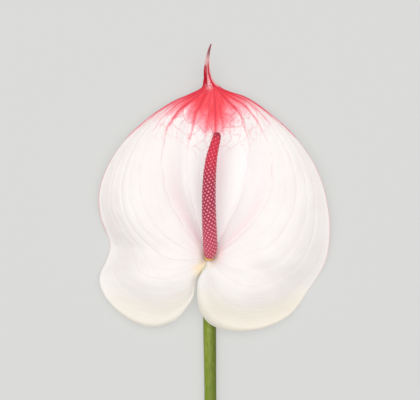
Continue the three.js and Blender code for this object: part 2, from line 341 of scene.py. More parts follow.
def close_tube():
    """Merges the seam of the rolled grid, caps its open ends and turns its faces outwards. It
    stays in edit mode."""
    bpy.ops.object.mode_set(mode="EDIT")
    bpy.ops.mesh.select_all(action="SELECT")
    bpy.ops.mesh.remove_doubles(threshold=MERGE)
    bpy.ops.mesh.select_all(action="DESELECT")
    bpy.ops.mesh.select_mode(type="EDGE")
    bpy.ops.mesh.select_non_manifold(use_wire=False, use_boundary=True, use_multi_face=False,
                                     use_non_contiguous=False, use_verts=False)
    bpy.ops.mesh.edge_face_add()
    bpy.ops.mesh.select_mode(type="FACE")
    bpy.ops.mesh.select_all(action="SELECT")
    bpy.ops.mesh.normals_make_consistent(inside=False)


def store(mesh, name, values):
    """Keeps one number for every point, for the materials to read."""
    attribute = mesh.attributes.new(name, "FLOAT", "POINT")
    attribute.data.foreach_set("value", np.ascontiguousarray(values, dtype=np.float32))


def finish_piece(piece, node):
    """Stands the piece in for its CAD node, on the one body there is."""
    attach(piece, "root")
    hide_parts(node)


# ---------------------------------------------------------------- materials

SOFT = {"interpolation_type": "SMOOTHSTEP"}


def linear(hex_colour):
    """An sRGB hex colour as linear red, green, blue and alpha."""
    parts = [int(hex_colour[i:i + 2], 16) / 255 for i in (1, 3, 5)]
    return tuple(p / 12.92 if p <= 0.04045 else ((p + 0.055) / 1.055) ** 2.4 for p in parts) + (1.0,)


def add_node(tree, kind, inputs=(), output=0, **settings):
    """Adds one shader node with its settings, sets or links its inputs, and returns an output."""
    node = tree.nodes.new("ShaderNode" + kind)
    for key, value in settings.items():
        setattr(node, key, value)
    for key, value in dict(inputs).items():
        if isinstance(value, bpy.types.NodeSocket):
            tree.links.new(value, node.inputs[key])
        else:
            node.inputs[key].default_value = value
    return node.outputs[output]


def new_material(name, attributes=()):
    """A new material, add_node for its tree, and the attributes that it reads."""
    material = bpy.data.materials.new(name)
    material.use_nodes = True
    add = partial(add_node, material.node_tree)
    return material, add, {each: add("Attribute", (), "Fac", attribute_name=each) for each in attributes}


def paint(add, base, coats):
    """Lays colours over base one after another, each as strong as its factors multiplied. A
    factor in brackets is a value, where its soft step starts from 0 and where it ends, at 1
    unless a fourth says otherwise."""
    for colour, *factors in coats:
        strength = None
        for factor in factors:
            if isinstance(factor, tuple):
                factor = add("MapRange", zip((0, 1, 2, 4), factor), **SOFT)
            if strength is not None:
                factor = add("Math", {0: strength, 1: factor}, operation="MULTIPLY")
            strength = factor
        if isinstance(colour, str):
            colour = linear(colour)
        base = add("Mix", {0: strength, 6: base, 7: colour}, 2, data_type="RGBA")
    return base


def total(add, first, parts):
    """first plus each part times its weight."""
    for part, weight in parts:
        first = add("Math", {0: part, 1: weight, 2: first}, operation="MULTIPLY_ADD")
    return first


def finish_material(material, add, colour, values, bumps=(), strength=0.0):
    """Links the colour to the shader and sets its other values. Each bump comes with the height
    of its relief in metres."""
    tree = material.node_tree
    shader = tree.nodes["Principled BSDF"]
    tree.links.new(colour, shader.inputs["Base Color"])
    if bumps:
        height = total(add, 0.0, bumps)
        relief = add("Bump", {"Height": height, "Distance": 1.0, "Strength": strength})
        tree.links.new(relief, shader.inputs["Normal"])
    for name, value in values.items():
        shader.inputs[name].default_value = value
    return material


def vein_distance(add, read, grain):
    """Distance to the nearest long vein in millimetres. The veins wander a little from straight."""
    wander = add("TexNoise", {"Vector": grain, "Scale": 0.55, "Detail": 1.0})
    phase = total(add, read["vein"], ((wander, 0.3), (1.0, -0.15)))
    aside = add("Math", {0: phase, 1: 0.5}, operation="PINGPONG")
    return add("Math", {0: aside, 1: read["panel_mm"]}, operation="MULTIPLY")


def waxy_bract():
    """Glossy bract tissue: a waxy cuticle over white, air-filled flesh that lets light through.
    Red sap floods it round the tail and runs back along the veins, which are faint elsewhere."""
    material, add, read = new_material("waxy_bract", (
        "vein", "vein_gain", "vein_flush", "panel_mm", "flush", "signed", "neck_mm", "edge_mm", "rim_gain",
        "cream", "clear", "pink", "peach", "tail", "fold", "keel", "flank", "hem", "painted_highlight_spot"))
    colours = colours_now()
    grain = add("UVMap", uv_map="grain")
    place = add("TexCoord", output="Object")
    near = vein_distance(add, read, grain)
    line = add("MapRange", {0: near, 1: 0.36, 2: 0.06, 4: read["vein_gain"]}, **SOFT)
    halo = add("MapRange", {0: near, 1: 1.5, 2: 0.1, 4: read["vein_gain"]}, **SOFT)
    streak, mottle, swell = (add("TexNoise", {"Vector": grain, "Scale": scale, "Detail": detail})
                             for scale, detail in ((0.9, 4.0), (3.4, 2.0), (1.6, 2.0)))
    patch, painted_glint, skin = (add("TexNoise", {"Vector": place, "Scale": scale, "Detail": detail})
                          for scale, detail in ((60.0, 3.0), (1900.0, 1.0), (900.0, 3.0)))

    # Net between the veins: cells some 3 mm wide and 6 mm long, and a finer one inside them
    wobble = add("TexNoise", {"Vector": grain, "Scale": 1.3, "Detail": 2.0}, "Color")
    bent = add("VectorMath", {0: grain, 1: wobble}, operation="ADD")
    cells = {"Vector": bent, "Scale": 0.85, "Randomness": 0.95}
    edges = {"feature": "DISTANCE_TO_EDGE", "voronoi_dimensions": "2D"}
    wide_net = add("TexVoronoi", cells, "Distance", **edges)
    fine_net = add("TexVoronoi", {"Vector": bent, "Scale": 2.9, "Randomness": 1.0}, "Distance", **edges)
    cell_colour = add("TexVoronoi", cells, "Color", feature="F1", voronoi_dimensions="2D")
    cell_tone = add("SeparateColor", {0: cell_colour})
    net = add("Math", {0: add("MapRange", {0: wide_net, 1: 0.075, 2: 0.01}, **SOFT),
                       1: add("MapRange", {0: fine_net, 1: 0.09, 2: 0.0, 4: 0.45}, **SOFT)},
              operation="MAXIMUM")

    # Strength of the red: 1 where full, 0 past its ragged end, further along each vein
    sap = total(add, read["flush"], (
        (1.0, -0.69), (halo, 0.34), (streak, 0.5), (cell_tone, 0.2), (mottle, 0.5)))
    red = add("ValToRGB", {0: add("Math", {0: sap, 1: 1.3}, operation="DIVIDE")})
    stops = ((0.0, linear("#FBECEC")), (0.12, linear("#FCD5D9")), (0.28, linear("#FBABB4")),
             (0.46, linear("#FB7F8A")), (0.64, linear("#FA5A66")), (0.82, tuple(colours.red)),
             (1.0, linear("#E92F3E")))
    ramp = red.node.color_ramp.elements
    for index, (spot, tone) in enumerate(stops):
        if index > 1:
            ramp.new(spot)
        ramp[index].position = spot
        ramp[index].color = tone

    # Tail: deep red fold on its left, a pale channel flecked with painted glints, a red keel, a pale right
    # hem
    fade = total(add, read["neck_mm"], ((read["signed"], -3.0),))
    channel = paint(add, linear("#F08A94"), (
        ("#FFE4E4", (painted_glint, 0.5, 0.62)), ("#F0A0A4", (read["neck_mm"], 5.0, 9.0)),
        ("#C2002A", read["fold"]), ("#D41C3A", read["keel"]), ("#F0505E", read["flank"]),
        ("#F8C2C0", read["hem"]), ("#F0C3C2", (fade, 10.0, 12.5)),
        ("#B0727A", (read["neck_mm"], 14.0, 18.0))))

    base = paint(add, tuple(colours.white), (
        ("#F3EBE8", (patch, 0.35, 0.7)), ("#F0E6D6", read["cream"]),
        # Painted light over the trough (clear), and painted pink shade and shadow on the crease walls and
        # beside the spadix (pink)
        ("#FFFAF8", read["clear"]), ("#FDD2D9", read["pink"]),
        ("#E2B0B4", (streak, 0.3, 0.7, line), 0.3), ("#F9B4BC", halo, read["vein_flush"], 0.2),
        (red, (sap, -0.1, 0.25)), ("#E2506A", (read["flush"], -0.6, 0.4, net), 0.5),
        ("#D8243F", line, read["vein_flush"], 0.85),
        ("#CF3E5C", (read["edge_mm"], 0.75, 0.15, read["rim_gain"])),
        ("#F9DCB2", read["peach"]), (channel, read["tail"]),
        # Painted highlight: pale glints on a spot just above the neck
        ("#FDCBD0", (painted_glint, 0.42, 0.6, read["painted_highlight_spot"]))))

    # Veins sunk a tenth of a millimetre, and the cuticle's own fine unevenness
    sunk = add("MapRange", {0: near, 1: 0.9, 2: 0.0, 4: read["vein_gain"]}, **SOFT)
    return finish_material(material, add, base, {
        "Roughness": 0.38, "IOR": 1.42, "Specular IOR Level": 0.35, "Coat Weight": 0.08,
        "Coat Roughness": 0.2, "Subsurface Weight": 0.6, "Subsurface Radius": (0.8, 0.75, 0.75),
        "Subsurface Scale": 1.8 * MM},
        ((sunk, -0.12 * MM), (skin, 0.02 * MM), (swell, 0.22 * MM)), 0.7)


def bract_underside():
    """The same tissue from behind: duller, faintly green towards the node, with raised veins."""
    material, add, read = new_material("bract_underside", (
        "vein", "vein_gain", "vein_flush", "panel_mm", "flush", "signed", "neck_mm", "node_mm", "tail"))
    grain = add("UVMap", uv_map="grain")
    near = vein_distance(add, read, grain)
    streak = add("TexNoise", {"Vector": grain, "Scale": 0.9, "Detail": 4.0})
    sap = total(add, read["flush"], ((1.0, -0.6), (streak, 1.2)))
    line = add("MapRange", {0: near, 1: 0.7, 2: 0.1, 4: read["vein_gain"]}, **SOFT)
    fold = paint(add, linear("#F3BDB8"), (
        ("#BE0026", (read["signed"], 0.1, -0.1)),
        ("#EBB7B8", (read["neck_mm"], 10.5, 12.5)),
        ("#B0727A", (read["neck_mm"], 14.0, 18.0))))
    base = paint(add, linear("#F1EAE2"), (
        ("#ECE8CF", (read["node_mm"], 38.0, 4.0)),
        ("#D9C4AE", line, 0.3),
        ("#DE3B4C", (sap, -0.2, 1.0, 0.85)),
        ("#C92A40", line, read["vein_flush"], 0.8), (fold, read["tail"])))
    raised = add("MapRange", {0: near, 1: 1.0, 2: 0.0, 4: read["vein_gain"]}, **SOFT)
    return finish_material(material, add, base, {
        "Roughness": 0.5, "Subsurface Weight": 0.1, "Subsurface Radius": (1.0, 0.55, 0.45),
        "Subsurface Scale": 1.5 * MM}, ((raised, 0.2 * MM),), 0.8)


def green_stem_skin():
    """Smooth herbaceous skin: green with fine pale lenticels and darker flecks drawn out along
    the stem, with painted shade making its right side darker and browner. The flecks, a few tenths of a
    millimetre, still show."""
    material, add, read = new_material("green_stem_skin", ("painted_shade_side", "near_node"))
    place = add("TexCoord", output="Object")
    along = add("Mapping", {"Vector": place, "Scale": (1.0, 0.22, 1.0)})
    fleck, streak, patch = (add("TexNoise", {"Vector": along, "Scale": scale, "Detail": detail})
                            for scale, detail in ((1300.0, 2.0), (380.0, 3.0), (70.0, 2.0)))
    base = paint(add, tuple(colours_now().green), (
        ("#7B8E2C", (patch, 0.3, 0.7)), ("#A1AD4A", (streak, 0.45, 0.75, 0.5)),
        ("#556522", (fleck, 0.55, 0.72, 0.55)), ("#B2BA62", (fleck, 0.4, 0.28, 0.5)),
        # Painted shade on the stem's right side
        ("#4B551F", read["painted_shade_side"], 0.62), ("#C9CC7C", read["near_node"], 0.45)))
    return finish_material(material, add, base, {
        "Roughness": 0.42, "IOR": 1.4, "Specular IOR Level": 0.35, "Subsurface Weight": 0.08,
        "Subsurface Radius": (0.5, 0.9, 0.2), "Subsurface Scale": MM},
        ((fleck, 0.05 * MM), (streak, 0.08 * MM)), 0.6)


def cut_stem_flesh():
    """The fresh cut: wet pale flesh dotted with the ends of its fibre bundles, each about a third
    of a millimetre wide, inside a thin green skin."""
    material, add, read = new_material("cut_stem_flesh", ("skin_ring",))
    place = add("TexCoord", output="Object")
    bundles = add("TexVoronoi", {"Vector": place, "Scale": 1050.0})
    pith = add("TexNoise", {"Vector": place, "Scale": 2600.0, "Detail": 2.0})
    base = paint(add, linear("#DDE2AE"), (
        ("#C6D08C", pith), ("#8E9A4C", (bundles, 0.32, 0.2)), ("#6F7F35", read["skin_ring"])))
    return finish_material(material, add, base, {"Roughness": 0.28, "IOR": 1.38},
                           ((bundles, 0.1 * MM),), 0.5)


def stipe_flesh():
    """The stipe's bare yellow flesh, smooth and slightly moist, darker where it meets the node."""
    material, add, read = new_material("stipe_flesh", ("near_node",))
    place = add("TexCoord", output="Object")
    tone = add("TexNoise", {"Vector": place, "Scale": 420.0, "Detail": 3.0})
    base = paint(add, linear("#E8B45C"), (
        ("#F0CE86", (tone, 0.3, 0.7)), ("#C98D33", read["near_node"], 0.6)))
    return finish_material(material, add, base, {"Roughness": 0.4}, ((tone, 0.15 * MM),), 0.5)


def tepal_flesh():
    """Velvety crowded tepals: vivid red near the tip, wine red half way, paler rose at the base,
    with painted shade darkening the seams between them."""
    material, add, read = new_material("tepal_flesh", ("down", "seam"))
    place = add("TexCoord", output="Object")
    tone = add("TexNoise", {"Vector": place, "Scale": 700.0, "Detail": 2.0})
    base = paint(add, linear("#A8183A"), (
        ("#E0143E", (read["down"], 0.01, 0.06)),
        (tuple(colours_now().spadix), (read["down"], 0.16, 0.42)),
        ("#D24A66", (read["down"], 0.5, 0.95)),
        ("#D95A76", (tone, 0.4, 0.7, 0.15)),
        # Painted shade in the seams between florets
        ("#981836", read["seam"], 0.2)))
    return finish_material(material, add, base, {
        "Roughness": 0.5, "Sheen Weight": 0.15, "Subsurface Weight": 0.1,
        "Subsurface Radius": (1.0, 0.35, 0.3), "Subsurface Scale": 0.8 * MM},
        ((tone, 0.12 * MM),), 0.6)


def stigma_flesh():
    """The moist pale pink knobs at the middle of the florets, less pale towards the tip."""
    material, add, read = new_material("stigma_flesh", ("down",))
    base = paint(add, linear("#EC6877"), (("#FBA4B1", (read["down"], 0.05, 0.6)),))
    return finish_material(material, add, base, {"Roughness": 0.3, "Coat Weight": 0.2})


def lit_acrylic():
    """Matte translucent acrylic lit from below, which takes the shadows away."""
    material, add, _ = new_material("lit_acrylic")
    place = add("TexCoord", output="Object")
    haze = add("TexNoise", {"Vector": place, "Scale": 1500.0, "Detail": 2.0})
    base = paint(add, linear("#898988"), (("#8B8B8A", haze),))
    return finish_material(material, add, base, {
        "Emission Color": linear("#DADAD8"), "Emission Strength": 0.63, "Roughness": 0.95,
        "Specular IOR Level": 0.0})


# ---------------------------------------------------------------- sizes and colours


class AnthuriumSizes(PropertyGroup):
    """Real sizes of the flower, in metres."""

    blade_width: FloatProperty(name="Blade width", description="Spathe from side to side, lobes level",
                               default=0.12, unit="LENGTH")
    blade_length: FloatProperty(name="Blade length", description="Node to the neck of the tail",
                                default=0.0915, unit="LENGTH")
    tail_length: FloatProperty(name="Tail length", description="Rolled tail beyond the neck",
                               default=0.021, unit="LENGTH")
    blade_thickness: FloatProperty(name="Blade thickness", description="Thickness of the spathe",
                                   default=0.0008, unit="LENGTH")
    stem_diameter: FloatProperty(name="Stem diameter", description="Thickness of the stem",
                                 default=0.0065, unit="LENGTH")
    neck_bend: FloatProperty(name="Neck bend", description="Radius of the stem's rise to the node",
                             default=0.021, unit="LENGTH")
    spadix_diameter: FloatProperty(name="Spadix diameter", description="Thickest part of the spadix",
                                   default=0.0074, unit="LENGTH")
    floret_area: FloatProperty(name="Floret area", description="Room for one floret on the spadix",
                               default=3.0e-6, precision=8)


class AnthuriumColours(PropertyGroup):
    """Main colours of the flower."""

    white: FloatVectorProperty(name="White", description="Open part of the spathe", subtype="COLOR",
                               size=4, default=linear("#F6EFEC"))
    red: FloatVectorProperty(name="Red", description="Flush round the tail of the spathe",
                             subtype="COLOR", size=4, default=linear("#F4414D"))
    green: FloatVectorProperty(name="Green", description="Skin of the stem", subtype="COLOR",
                               size=4, default=linear("#889A30"))
    spadix: FloatVectorProperty(name="Spadix", description="Tepals in the middle of the spadix",
                                subtype="COLOR", size=4, default=linear("#AE2044"))


def sizes_now():
    """The flower's sizes as the panel has them."""
    return bpy.context.scene.anthurium_sizes


def colours_now():
    """The flower's colours as the panel has them."""
    return bpy.context.scene.anthurium_colours


# ---------------------------------------------------------------- operators


class ANTHURIUM_OT_stem(Operator):
    """Models the stem: a smooth shoot that rises to the node, with a fresh flat cut"""

    bl_idname = "anthurium.stem"
    bl_label = "Stem"

    def execute(self, context):
        sizes = sizes_now()
        origin = node_place(sizes)
        radius, bend = sizes.stem_diameter / 2, sizes.neck_bend
        run = bend * math.sin(NODE_TILT)
        straight = origin.y - STEM_LOW[1] - run
        length = straight + bend * NODE_TILT
        bow = 1.2 * MM

        def axis_at(distance):
            """Centre line and its slope, by distance from the cut end."""
            back = np.clip(1 - distance / straight, 0.0, 1.0)
            lift = np.clip((distance - straight) / bend, 0.0, NODE_TILT)
            y = np.where(distance < straight, STEM_LOW[1] + distance, origin.y - run + bend * np.sin(lift))
            z = radius + bend * (1 - np.cos(lift)) + origin.z
            return np.stack((origin.x + bow * (1 - (1 - back) ** 3), y, z), -1), lift

        def place(u, v):
            # A quarter of the rings are kept for the last stretch, which bends
            distance = length * np.interp(v, (0.0, 0.75, 1.0), (0.0, 0.93, 1.0))
            centre, lift = axis_at(distance)
            turn = -2 * math.pi * u
            swell = 1 + 0.012 * np.sin(distance * 95.0) + 0.01 * np.sin(3 * turn + distance * 40.0)
            thicker = smooth(distance, length - 75.0 * MM, length - 30.0 * MM)
            size = radius * swell * (0.976 + 0.05 * thicker)
            up = size * np.sin(turn)
            points = centre + np.stack((size * np.cos(turn), -up * np.sin(lift), up * np.cos(lift)), -1)
            points[:, 2] = np.maximum(points[:, 2], FLOOR_GAP)
            return points

        stem, _, _ = grid_piece("stem_shoot", 64, 260, place)
        close_tube()
        self.dress_cut(stem)
        points = np.array([v.co[:] for v in stem.data.vertices])
        # Painted shade: the stem's right side, away from the light, is coloured darker
        store(stem.data, "painted_shade_side", smooth(points[:, 0] - origin.x, -0.8 * radius, 1.2 * radius))
        store(stem.data, "near_node", smooth(points[:, 1], origin.y - 20.0 * MM, origin.y))
        across = np.hypot(points[:, 0] - origin.x - bow, points[:, 2] - radius - origin.z)
        store(stem.data, "skin_ring", smooth(across, 0.86 * radius, 0.95 * radius))
        pick(stem)
        bpy.ops.object.shade_smooth_by_angle(angle=math.radians(40))
        finish_piece(stem, "stem")
        return {"FINISHED"}

    def dress_cut(self, stem):
        """Insets the cut end three times, so that its skin, a softened edge and its flesh are separate."""
        edit = bmesh.from_edit_mesh(stem.data)
        for face in edit.faces:
            face.select = len(face.verts) > 4 and face.normal.y <= 0
        bmesh.update_edit_mesh(stem.data)
        for inwards, outwards in ((0.12, 0.08), (0.3, 0.0), (1.2, -0.06)):
            bpy.ops.mesh.inset(thickness=inwards * MM, depth=outwards * MM)
        bpy.ops.object.mode_set(mode="OBJECT")
        stem.data.materials.append(green_stem_skin())
        stem.data.materials.append(cut_stem_flesh())
        for face in stem.data.polygons:
            face.material_index = 1 if face.normal.y < -0.9 else 0


class ANTHURIUM_OT_spathe(Operator):
    """Models the spathe: one waxy sheet with a puffed blade, two lobes and a rolled tail"""

    bl_idname = "anthurium.spathe"
    bl_label = "Spathe"

    columns: IntProperty(name="Columns", description="Divisions from margin to margin", default=208)
    rows: IntProperty(name="Rows", description="Divisions from node to tail tip", default=212)
    tail_rows: IntProperty(name="Tail rows", description="Those of them in the tail", default=34)

    def execute(self, context):
        sizes = sizes_now()
        origin = node_place(sizes)
        blade_share = 1 - self.tail_rows / self.rows

        def settle(u, v):
            """Spaces the columns wider at the midrib, and the rows closer at the node."""
            signed = u * 2 - 1
            signed = np.sign(signed) * np.abs(signed) ** 0.92
            blade = np.minimum(v / blade_share, 1.0)
            tail = np.maximum((v - blade_share) / (1 - blade_share), 0.0)
            return self.snap(signed), blade ** 1.12 + tail

        def place(u, v):
            signed, along = settle(u, v)
            return sheet(sizes, signed, along) * MM + np.array(origin)

        spathe, u, v = grid_piece("spathe_blade", self.columns, self.rows, place)
        signed, along = settle(u, v)
        self.measure(spathe, sizes, signed, along)
        spathe.data.materials.append(waxy_bract())
        spathe.data.materials.append(bract_underside())
        self.thicken(spathe, sizes, signed, along)
        bpy.ops.object.shade_smooth()
        finish_piece(spathe, "spathe")
        return {"FINISHED"}

    def snap(self, signed):
        """Moves the nearest column on to each main vein, so that the vein lies on an edge."""
        across = np.abs(signed)
        spots = np.unique(across)
        moved = signed.copy()
        for right, veins in ((True, VEINS_RIGHT), (False, VEINS_LEFT)):
            for spot, _ in veins[1:]:
                nearest = spots[np.argmin(np.abs(spots - spot))]
                on = (across == nearest) & ((signed >= 0) == right)
                moved[on] = spot if right else -spot
        return moved

    def measure(self, spathe, sizes, signed, along):
        """Keeps at each point what the materials need, distances in millimetres."""
        points = sheet(sizes, signed, along)
        across, right = np.abs(signed), signed >= 0
        pitch = self.pitch(sizes, signed, along)
        edge = (1 - across) * pitch
        neck = sum(neck_ends(sizes)) / 2
        from_neck = np.hypot(points[:, 0] - neck[0], points[:, 1] - neck[1])
        kept = {"signed": signed, "edge_mm": np.minimum(edge, 6.0), "neck_mm": from_neck,
                "node_mm": np.hypot(points[:, 0], points[:, 1]),
                **self.veins(right, across, pitch, from_neck),
                **self.flush(right, across, edge, from_neck),
                **self.rim(right, compass_at(right, across, along), from_neck),
                **self.washes(points, signed, edge),
                **self.tail(points - neck, signed, along, from_neck)}
        for name, values in kept.items():
            store(spathe.data, name, values)
        self.lay_grain(spathe.data, signed, from_neck)

    def pitch(self, sizes, signed, along):
        """Millimetres from midrib to margin, square to the veins, at the spread of each point."""
        step = 0.015
        way = np.where(signed >= 0, 1.0, -1.0)
        across, along = np.minimum(np.abs(signed), 1 - step), np.minimum(along, 2 - step)
        here = sheet(sizes, way * across, along)
        out = (sheet(sizes, way * (across + step), along) - here) / step
        ahead = sheet(sizes, way * across, along + step) - here
        ahead /= np.maximum(np.linalg.norm(ahead, axis=-1, keepdims=True), 1e-9)
        return np.linalg.norm(np.cross(out, ahead), axis=-1)

    def veins(self, right, across, pitch, from_neck):
        """Each point's place counted in veins out from the midrib, negative on the left, how
        strong the nearest vein is, and how wide the panel between two is. The left half's lean
        inwards near the neck."""
        lean = 0.04 * bell(across, 0.4, 0.16) * (1 - smooth(from_neck, 20.0, 60.0))
        across = np.where(right, across, across - lean)
        sides = []
        for veins in (VEINS_RIGHT, VEINS_LEFT):
            spots, gains = np.array(veins).T
            middles, gaps = (spots[1:] + spots[:-1]) / 2, np.diff(spots)
            sides.append((np.interp(across, spots, np.arange(len(spots))),
                          np.interp(across, spots, gains), np.interp(across, middles, gaps)))
        count, gain, gap = (np.where(right, *pair) for pair in zip(*sides))
        return {"vein": np.where(right, count, -count), "vein_gain": gain, "panel_mm": gap * pitch}

    def flush(self, right, across, edge, from_neck):
        """How full the red is: 1 where full, 0 at its end and less beyond, with a narrow band
        that runs on along the margin. Then how red the veins are."""
        sides = []
        for rows in (FLUSH_RIGHT, FLUSH_LEFT):
            spots, *columns = np.array(rows).T
            sides.append([np.interp(across, spots, column) for column in columns])
        full, end, veins_end = (np.where(right, *pair) for pair in zip(*sides))
        fullness = np.clip((end - from_neck) / (end - full), -4.0, 1.1)
        fullness = np.sign(fullness) * np.abs(fullness) ** (1 + 0.5 * smooth(across, 0.05, 0.2))
        band = 0.62 * (1 - smooth(edge, 0.7, 3.4)) * (1 - smooth(from_neck, 18.0, 64.0))
        band -= 4.0 * (1 - smooth(band, 0.0, 0.12))
        return {"flush": np.maximum(fullness, band),
                "vein_flush": 1 - smooth(from_neck, 0.15 * veins_end, veins_end)}

    def rim(self, right, compass, from_neck):
        """Strength of the fine red rim, which fades out beside the lobes."""
        fade = 1 - smooth(compass, np.where(right, 70.0, 78.0), np.where(right, 112.0, 96.0))
        return {"rim_gain": fade * (0.5 + 0.4 * (1 - smooth(from_neck, 10.0, 70.0)))}

    def washes(self, points, signed, edge):
        """Faint washes: cream under the lobes' ends; painted pink shade on the crease walls, a painted pink
        shadow with its reflected glow beside the spadix, and pink by the node's right;
        painted light, brighter than the white, over the trough round the spadix; and peach at the node."""
        x, y = points[:, 0], points[:, 1]
        node = np.hypot(x, y)
        across, right = np.abs(signed), signed >= 0
        crease = np.where(right, CREASE_RIGHT, CREASE_LEFT)
        low_edge = np.where(right, 0.85, 0.65) * (1 - smooth(edge, 2.0, 16.0)) * smooth(-y, 6.0, 26.0)
        # Painted shade: a pink-grey band on the inner side of each crease, where the wall falls to the trough
        painted_wall_shade = bell(across, crease - np.where(right, 0.035, 0.055), np.where(right, 0.03, 0.04))
        painted_wall_shade *= smooth(node, 4.0, 14.0) * (1 - smooth(node, 30.0, 75.0))
        # Painted shadow of the spadix, with its reflected pink glow, just right of the midrib
        beside = bell(signed, 0.065, 0.05) * (1 - smooth(node, 50.0, 78.0)) * smooth(node, 2.0, 8.0)
        under = bell(x, 4.6, 2.4) * bell(y, 4.0, 4.0)
        dip = bell(x, -4.8, 3.6) * bell(y, -3.6, 4.4) * smooth(-signed, 0.62, 0.8)
        ring = 1 - smooth(node, 3.0, 5.0)
        return {"cream": 0.1 * smooth(-y, -10.0, 20.0) + low_edge,
                # Painted shade and shadow on the crease walls and beside the spadix, and pink by the node
                "pink": np.clip(0.36 * painted_wall_shade + 0.5 * beside + 0.6 * under, 0.0, 1.0),
                # Painted light: the trough inside the creases is brighter than the white, to lift the shade
                # that falls there
                "clear": (1 - smooth(node, 50.0, 84.0)) * (1 - smooth(across, crease - 0.1, crease + 0.04)),
                "peach": np.clip(0.85 * dip + 0.3 * ring, 0.0, 1.0)}

    def tail(self, points, signed, along, from_neck):
        """The tail's bands from left to right, which spread apart at the neck, and the spot of
        painted highlight between them there. The points are measured from the neck."""
        lane = signed + MIDRIB_ASIDE * (1 - np.abs(signed)) * (1 - smooth(along, 1.0, 1.3))
        near = 1 - smooth(from_neck, 0.0, 7.0)
        # Spot of painted highlight just above the neck
        wet = bell(points[:, 0], -0.86, 1.9) * bell(points[:, 1], 0.3, 1.7)
        return {"tail": smooth(along, 0.985, 1.06), "fold": 1 - smooth(lane + 0.4 * near, -0.1, -0.02),
                "keel": smooth(lane, 0.16, 0.26), "flank": smooth(lane - 0.1 * near, 0.34, 0.46),
                "hem": smooth(lane - 0.3 * near, 0.48, 0.62),
                "painted_highlight_spot": wet * (1 - smooth(lane, 0.14, 0.24))}

    def lay_grain(self, mesh, signed, from_neck):
        """A UV map across the veins, 22 steps to a half of the blade, and along them, in steps
        of 5 mm, shifted on the right so that the halves differ."""
        grain = mesh.uv_layers.new(name="grain")
        corners = np.empty(len(mesh.loops), dtype=np.int32)
        mesh.loops.foreach_get("vertex_index", corners)
        pair = np.stack((signed * 22.0, from_neck / 5.0 + 3.0 * (signed > 0)), -1)[corners]
        grain.data.foreach_set("uv", np.ascontiguousarray(pair, dtype=np.float32).ravel())

    def thicken(self, spathe, sizes, signed, along):
        """Gives the sheet its thickness, thinner at the margins and along the tail."""
        thinning = 0.45
        share = (1 - thinning * np.abs(signed) ** 6) * (1 - thinning * smooth(along, 1.0, 1.2))
        compass = TAIL_END * np.clip(along - 1, 0.0, 1.0)
        width = margin_at(sizes, True, compass) - margin_at(sizes, False, compass)
        limit = 0.4 * np.linalg.norm(width, axis=-1) * MM / sizes.blade_thickness
        share = np.where(along > 1, np.minimum(share, limit), share)
        group = spathe.vertex_groups.new(name="thickness")
        for index, weight in enumerate(np.clip(share, 0.02, 1.0)):
            group.add((index,), float(weight), "REPLACE")
        pick(spathe)
        solid = spathe.modifiers.new("thickness", "SOLIDIFY")
        solid.thickness = sizes.blade_thickness
        solid.offset = 0.0
        solid.vertex_group = "thickness"
        solid.material_offset = 1
        solid.material_offset_rim = 0
        bpy.ops.object.modifier_apply(modifier=solid.name)
        spathe.vertex_groups.clear()
        for point in spathe.data.vertices:
            point.co.z = max(point.co.z, FLOOR_GAP)


class ANTHURIUM_OT_stipe(Operator):
    """Models the stipe: the short bare neck between node and spadix"""

    bl_idname = "anthurium.stipe"
    bl_label = "Stipe"

    def execute(self, context):
        sizes = sizes_now()
        origin = node_place(sizes)
        axis = np.array((0.0, math.cos(NODE_TILT), math.sin(NODE_TILT)))
        ahead = np.array((0.0, math.sin(NODE_TILT), -math.cos(NODE_TILT)))
        start = np.array((origin.x, origin.y, origin.z + node_height(sizes))) + axis * 0.3 * MM
        length, radius, shoulder = 2.6 * MM, 2.5 * MM, 0.85

        def place(u, v):
            turn = 2 * math.pi * u
            over = np.clip((v - shoulder) / (1 - shoulder), 0.0, 1.0)
            round_over = np.sqrt(1 - over ** 2)
            size = radius * (1 - 0.1 * np.sin(math.pi * v)) * (0.75 + 0.25 * round_over)
            size = size * (1 + 0.02 * np.sin(5 * turn) + 0.015 * np.sin(11 * turn + 1))
            return (start + axis * (v * length)[:, None] + ahead * (size * np.cos(turn))[:, None]
                    + np.array((1.0, 0.0, 0.0)) * (size * np.sin(turn))[:, None])

        stipe, _, _ = grid_piece("stipe_neck", 40, 14, place)
        close_tube()
        bpy.ops.object.mode_set(mode="OBJECT")
        points = np.array([v.co[:] for v in stipe.data.vertices])
        store(stipe.data, "near_node", 1 - smooth((points - start) @ axis, 0.0, 1.6 * MM))
        stipe.data.materials.append(stipe_flesh())
        pick(stipe)
        bpy.ops.object.shade_smooth_by_angle(angle=math.radians(50))
        finish_piece(stipe, "stipe")
        return {"FINISHED"}


